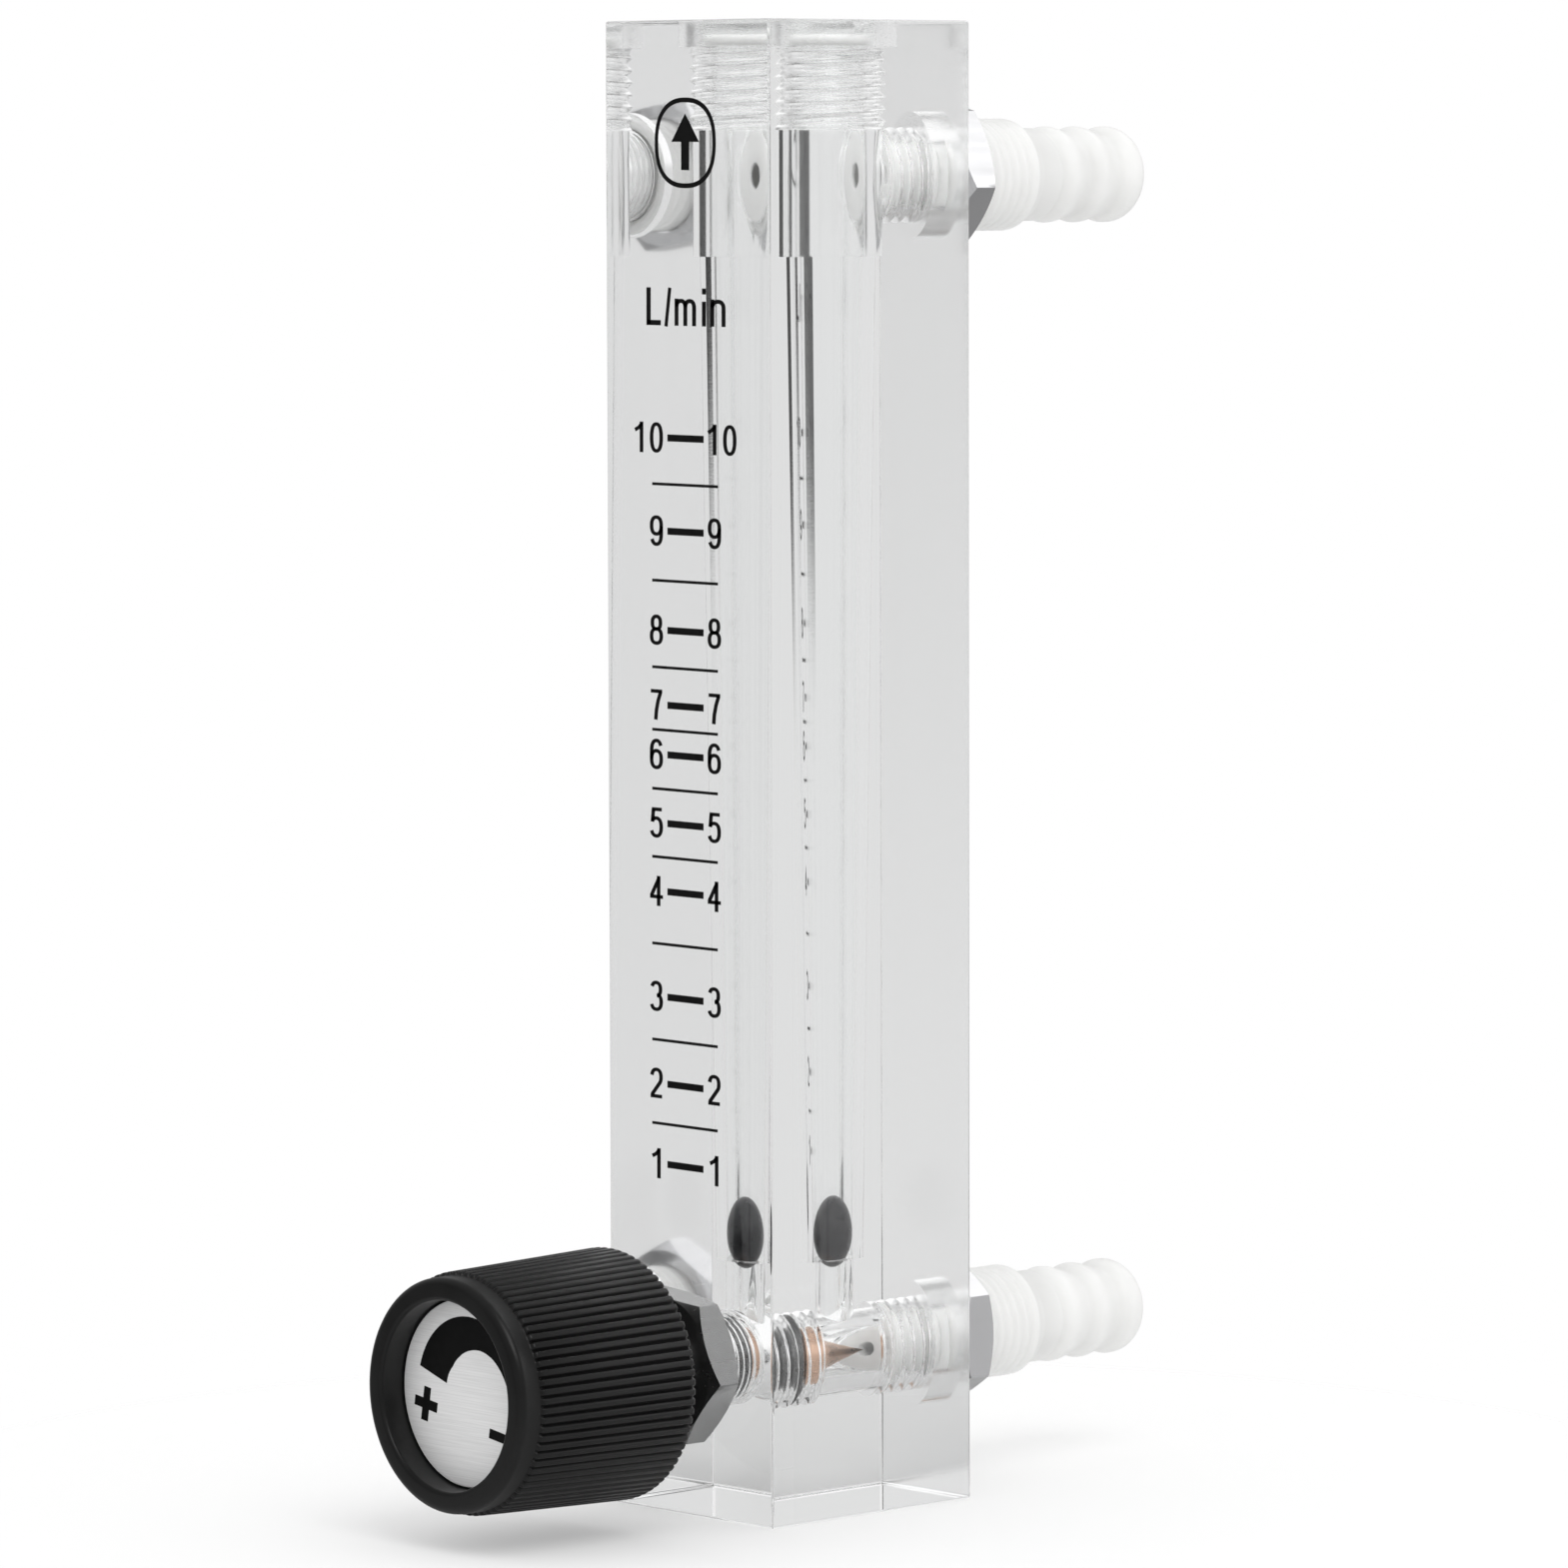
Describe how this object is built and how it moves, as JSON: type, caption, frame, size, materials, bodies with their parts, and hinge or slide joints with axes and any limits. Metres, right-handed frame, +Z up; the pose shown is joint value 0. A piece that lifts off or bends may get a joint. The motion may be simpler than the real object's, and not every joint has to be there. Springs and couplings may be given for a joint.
{
  "type": "panel flowmeter",
  "caption": "Clear acrylic block flowmeter with a ball float in a tapered bore, a knob-driven needle valve in front and hose fittings behind.",
  "frame": {"origin": "centre of the acrylic block's bottom face", "axes": "+X along the printed front face, +Y from the front face to the rear face, +Z up along the block"},
  "size_m": [0.0262, 0.0971, 0.155],
  "materials": {
    "clear_acrylic": "clear polished acrylic",
    "natural_nylon": "translucent natural nylon",
    "pale_silicone": "matt",
    "black_rubber": "matt",
    "dark_float": "satin dark grey",
    "nickel": "nickel-plated brass",
    "chrome": "bright plate",
    "red_brass": "turned copper-coloured brass",
    "zinc_steel": "zinc-plated steel",
    "black_plastic": "satin black",
    "brushed_aluminium": "brushed"
  },
  "bodies": {
    "housing": {"flow_block": "clear_acrylic", "top_plug": "clear_acrylic", "top_plug_o_ring": "pale_silicone", "valve_body": "nickel", "valve_body_o_ring": "black_rubber", "stem_retainer": "nickel", "upper_hose_fitting": "natural_nylon", "lower_hose_fitting": "natural_nylon", "upper_port_o_ring": "pale_silicone", "lower_port_o_ring": "pale_silicone", "upper_panel_nut": "chrome", "lower_panel_nut": "chrome"},
    "float": {"float_ball": "dark_float"},
    "stem_seal": {"stem_o_ring": "black_rubber"},
    "knob": {"needle_stem": "red_brass", "control_knob": "black_plastic", "knob_washer": "zinc_steel", "knob_screw": "zinc_steel", "dial_disc": "brushed_aluminium"}
  },
  "joints": [
    {"name": "float_rise", "type": "slide", "parent": "housing", "child": "float", "axis": [0, 0, 1], "range_m": [0, 0.1112]},
    {"name": "stem_travel", "type": "slide", "parent": "housing", "child": "stem_seal", "axis": [0, -1, 0], "range_m": [-0.00225, 0]},
    {"name": "knob_turn", "type": "hinge", "parent": "stem_seal", "child": "knob", "pos_m": [0, -0.01425, 0.016], "axis": [0, -1, 0], "range_deg": [-1080, 0]}
  ],
  "couplings": [
    {"joint": "stem_travel", "follows": "knob_turn", "m_per_rad": 0.00011937}
  ]
}
